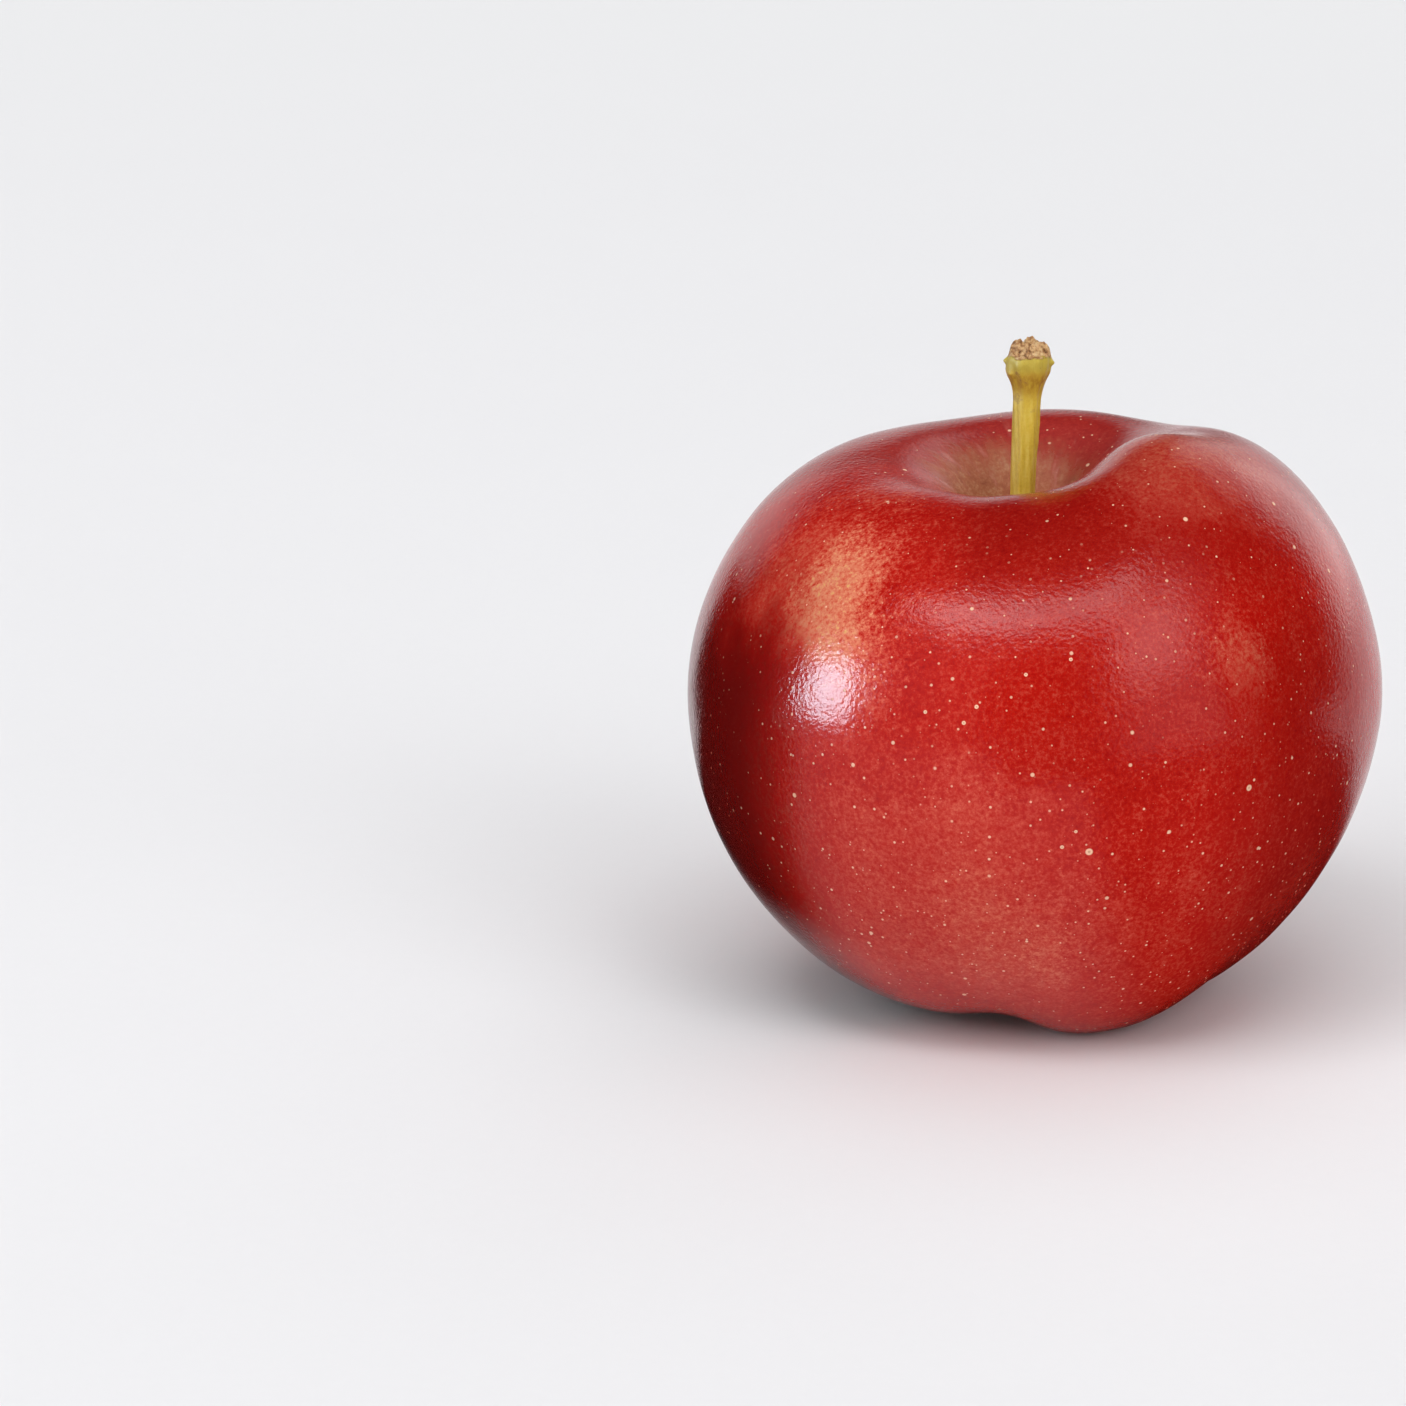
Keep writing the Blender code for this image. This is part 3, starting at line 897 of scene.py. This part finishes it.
def shape_stamens(finish):
    """Dry brown threads that fill the eye and hang a little below it, bent every way."""
    chance = random.Random(7)
    eye_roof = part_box("dried_stamens")[1].z - 0.2 * MM
    strand = shape_strand(sides=6, steps=6, radius=0.17 * MM, length=4.4 * MM, bend=0.9, tip=0.45)
    places = []
    for number in range(STAMEN_COUNT):
        turn = number * STAMEN_STEP + chance.uniform(-0.3, 0.3)
        reach = STAMEN_REACH * math.sqrt((number + 0.5) / STAMEN_COUNT)
        spot = Vector((reach * math.cos(turn), reach * math.sin(turn), eye_roof))
        lean = chance.uniform(0.05, 0.35)
        size = chance.uniform(0.75, 1.1)
        spin = Euler((math.pi, 0, 0)).to_matrix() @ Matrix.Rotation(lean, 3, "Y")
        spin = Matrix.Rotation(turn + chance.uniform(-0.8, 0.8), 3, "Z") @ spin
        places.append(Matrix.Translation(spot) @ spin.to_4x4() @ Matrix.Scale(size, 4))
    return settle(plant("stamen_threads", strand, places), finish, "dried_calyx", "dried_stamens")


def rooted(spot, upright, turn, size):
    """Where a hair of that size goes, that grows from the spot along upright."""
    spin = upright.to_track_quat("Z", "X").to_matrix() @ Matrix.Rotation(turn, 3, "Z")
    return Matrix.Translation(spot) @ spin.to_4x4() @ Matrix.Scale(size, 4)


def shape_down(fruit, finish):
    """Short pale hairs on the floor of the basin, leaning away from the eye."""
    chance = random.Random(31)
    strand = shape_strand(sides=3, steps=3, radius=0.028 * MM, length=0.85 * MM, bend=0.8, tip=0.2)
    nearest, furthest = DOWN_REACHES
    places = []
    for face in fruit.data.polygons:
        reach = face.center.xy.length
        if face.center.z >= DOWN_TOP or not nearest <= reach < furthest:
            continue
        if chance.random() > DOWN_SHARE * ramp_between(reach, furthest, 5 * MM):
            continue
        outwards = Vector((face.center.x, face.center.y, 0)).normalized()
        upright = (face.normal + outwards * chance.uniform(-0.3, 0.7)).normalized()
        spot = face.center - face.normal * 0.02 * MM
        turn = chance.uniform(0, FULL_TURN)
        places.append(rooted(spot, upright, turn, chance.uniform(0.6, 1.3)))
    return settle(plant("basin_down", strand, places), finish, "dried_calyx")


def shape_wool(sepals, finish):
    """Grey wool on the sepals, thickest on their edges."""
    chance = random.Random(47)
    strand = shape_strand(sides=3, steps=3, radius=0.024 * MM, length=0.75 * MM, bend=1.3, tip=0.2)
    places = []
    for sepal in sepals:
        for face in sepal.data.polygons:
            if chance.random() > WOOL_SHARE or face.center.z > WOOL_TOP:
                continue
            stray = Vector((chance.uniform(-1, 1), chance.uniform(-1, 1), chance.uniform(-1.4, 0.2)))
            upright = (face.normal + 0.6 * stray).normalized()
            turn = chance.uniform(0, FULL_TURN)
            places.append(rooted(face.center, upright, turn, chance.uniform(0.5, 1.3)))
    return settle(plant("sepal_wool", strand, places), finish, "dried_calyx")


# ---------------------------------------------------------------- the studio


def add_camera():
    tilt = math.radians(CAMERA_ELEVATION)
    data = bpy.data.cameras.new("camera")
    data.sensor_width = SENSOR_WIDTH
    data.lens = SENSOR_WIDTH * CAMERA_DISTANCE / FRAME_WIDTH
    data.clip_start = 0.01
    camera = bpy.data.objects.new("camera", data)
    camera.location = AIM + CAMERA_DISTANCE * Vector((0, -math.cos(tilt), math.sin(tilt)))
    camera.rotation_euler = (math.pi / 2 - tilt, 0, 0)
    bpy.context.collection.objects.link(camera)
    bpy.context.scene.camera = camera


def direction(bearing, elevation):
    side, up = math.radians(bearing), math.radians(elevation)
    return Vector((math.sin(side) * math.cos(up), -math.cos(side) * math.cos(up), math.sin(up)))


LAMPS = (
    # name, bearing, elevation, distance, width, height, brightness, colour, what it lights
    ("window_glint", -73, 14.5, 1.0, 0.32, 0.35, 34.0, (0.58, 0.86, 1.00), "gloss"),
    ("backdrop_glint", 139, 9, 1.0, 0.46, 0.66, 0.9, (1.00, 0.99, 0.97), "gloss"),
    ("strip_glint", -38, 57, 1.0, 0.36, 0.16, 3.0, (0.98, 0.98, 1.00), "gloss"),
    ("overhead_fill", 180, 80, 5.0, 6.0, 6.0, 0.96, (0.98, 0.99, 1.00), "body"),
    ("window_fill", -55, 34, 2.0, 1.2, 1.0, 2.95, (0.99, 0.99, 1.00), "body"),
    ("table_fill", 32, 8, 2.4, 3.9, 0.36, 3.3, (1.00, 0.99, 0.98), "body"),
)
UPRIGHT_FLAGS = (
    # name, bearing, distance, width, lowest and highest edge of a black card that only the gloss sees
    ("front_flag", 3, 0.160, 0.098, 0.0, 0.190),
    ("left_flag", -105, 0.078, 0.085, 0.0, 0.056),
    ("right_flag", 92, 0.250, 0.210, 0.0, 0.600),
)
FLAT_FLAGS = (
    # name, corners of a black card on the floor that only the gloss sees
    ("right_floor_flag", ((-0.008, 0.045), (0.055, -0.45), (0.60, -0.45), (0.60, 0.06))),
    ("left_floor_flag", ((-0.024, -0.024), (-0.03, 0.06), (-0.55, 0.35), (-0.55, -0.085))),
)
FLAT_FLAG_HEIGHT = 0.3 * MM
FLAG_SOFTNESS = 0.03  # share of a flag's width over which its edge fades
FLAG_BLACKS = ((0.004, 0.004, 0.004), (0.010, 0.010, 0.011))
PLANE_RING = (0, 1, 3, 2)  # a plane's points in the order that goes round it


def add_lamps():
    """Area lamps that face the apple. Each lights either the gloss or the body of what it shines on."""
    for name, bearing, elevation, distance, width, height, brightness, colour, lights in LAMPS:
        data = bpy.data.lights.new(name, "AREA")
        data.shape = "RECTANGLE"
        data.size = width
        data.size_y = height
        data.energy = brightness * math.pi * width * height
        data.color = colour
        lamp = bpy.data.objects.new(name, data)
        heading = direction(bearing, elevation)
        lamp.location = APPLE_MIDDLE + heading * distance
        lamp.rotation_euler = heading.to_track_quat("Z", "Y").to_euler()
        lamp.visible_glossy = lights == "gloss"
        lamp.visible_diffuse = lights == "body"
        lamp.visible_camera = False
        bpy.context.collection.objects.link(lamp)


def add_flag(name, finish, corners):
    """A card with the corners given, whose soft-edged black only the gloss sees."""
    bpy.ops.object.select_all(action="DESELECT")
    bpy.ops.mesh.primitive_plane_add(size=1)
    flag = bpy.context.object
    flag.name = name
    for point, corner in zip(PLANE_RING, corners):
        flag.data.vertices[point].co = corner
    flag.data.materials.append(finish)
    flag.visible_camera = False
    flag.visible_diffuse = False
    flag.visible_transmission = False
    flag.visible_shadow = False


def add_flags(finish):
    for name, bearing, distance, width, low, high in UPRIGHT_FLAGS:
        middle = direction(bearing, 0) * distance
        side = direction(bearing + 90, 0) * width / 2
        foot, top = Vector((0, 0, low)), Vector((0, 0, high))
        corners = (middle - side + foot, middle + side + foot, middle + side + top, middle - side + top)
        add_flag(name, finish, corners)
    for name, corners in FLAT_FLAGS:
        add_flag(name, finish, [(*corner, FLAT_FLAG_HEIGHT) for corner in corners])


def velvet_finish():
    velvet = Finish("black_velvet")
    nap = velvet.grain(velvet.place, 4 * MM, 2)
    colour = velvet.mix(nap, *FLAG_BLACKS)
    spread = velvet.add("ShaderNodeTexCoord", output="UV")
    cover = 1
    for axis in "XY":
        share = velvet.add("ShaderNodeSeparateXYZ", None, {0: spread}, axis)
        cover = velvet.rise(share, 0, FLAG_SOFTNESS) * velvet.rise(share, 1, 1 - FLAG_SOFTNESS) * cover
    return velvet.shade({"Base Color": colour, "Roughness": 1.0, "Specular IOR Level": 0.0, "Alpha": cover})


ROOM_PANELS = (
    # from bearing, to bearing, from elevation, to elevation, softness in degrees, brightness
    (-67, 34, 51, 66, 5, 5.0),
    (15, 52, 23, 50, 4, 2.6),
    (-65, 65, 35, 62, 10, 0.35),
    (65, 115, 30, 60, 10, 0.60),
    (125, 168, -60, 45, 6, 0.90),
    (176, 218, -2, 22, 6, 0.80),
    (25, 61, -50, 42, 5, 0.95),
    (-65, -20, -50, 34, 5, 0.50),
)
ROOM_DARK = 0.02


def add_room():
    """A dark room with softly lit walls and ceiling, which the camera itself sees as one pale colour."""
    world = bpy.data.worlds.new("room")
    bpy.context.scene.world = world
    room = ShaderTree(world)
    heading = room.add("ShaderNodeTexCoord", output="Generated")
    across, ahead, up = (room.add("ShaderNodeSeparateXYZ", None, {0: heading}, axis) for axis in "XYZ")
    bearing = DEGREES * room.add("ShaderNodeMath", {"operation": "ARCTAN2"}, {0: across, 1: -1 * ahead})
    elevation = DEGREES * room.add("ShaderNodeMath", {"operation": "ARCSINE"}, {0: up})
    light = ROOM_DARK
    for left, right, low, high, soft, brightness in ROOM_PANELS:
        middle, half = (left + right) / 2, (right - left) / 2
        off = bearing - middle
        away = room.add("ShaderNodeMath", {"operation": "WRAP"}, {0: off, 1: 180, 2: -180})
        away = room.add("ShaderNodeMath", {"operation": "ABSOLUTE"}, {0: away})
        inside = room.rise(away, half + soft, half - soft)
        inside = inside * room.rise(elevation, low - soft, low + soft)
        inside = inside * room.rise(elevation, high + soft, high - soft)
        light = light + brightness * inside
    seen = room.add("ShaderNodeLightPath", output="Is Camera Ray")
    strength = seen * ROOM_PALE + (1 - seen) * light
    back = room.add("ShaderNodeBackground", None, {"Color": (*ROOM_COLOUR, 1), "Strength": strength})
    room.add("ShaderNodeOutputWorld", None, {"Surface": back})


FLOOR_RADIUS = 8
FLOOR_LEVEL = -0.02 * MM


def add_floor(finish):
    bpy.ops.object.select_all(action="DESELECT")
    bpy.ops.mesh.primitive_circle_add(
        vertices=96, radius=FLOOR_RADIUS, fill_type="NGON", location=(0, 0, FLOOR_LEVEL)
    )
    floor = bpy.context.object
    floor.name = "floor"
    floor.data.materials.append(finish)


def main():
    add_camera()
    skin = skin_finish()
    fruit = shape_fruit(skin)
    shape_stem(stem_finish())
    leafy = dry_finish("dried_sepal", SEPAL_TONES, 0.5 * MM, 0.08 * MM)
    threads = dry_finish("dried_thread", THREAD_TONES, 0.3 * MM, 0.03 * MM)
    wool = dry_finish("grey_down", WOOL_TONES, 0.4 * MM, 0.01 * MM)
    sepals = [shape_sepal(number, leafy) for number in range(1, SEPAL_COUNT + 1)]
    shape_stamens(threads)
    shape_down(fruit, wool)
    shape_wool(sepals, wool)
    add_floor(paper_finish())
    add_lamps()
    add_flags(velvet_finish())
    add_room()
    bpy.context.scene.view_settings.view_transform = "Standard"


main()
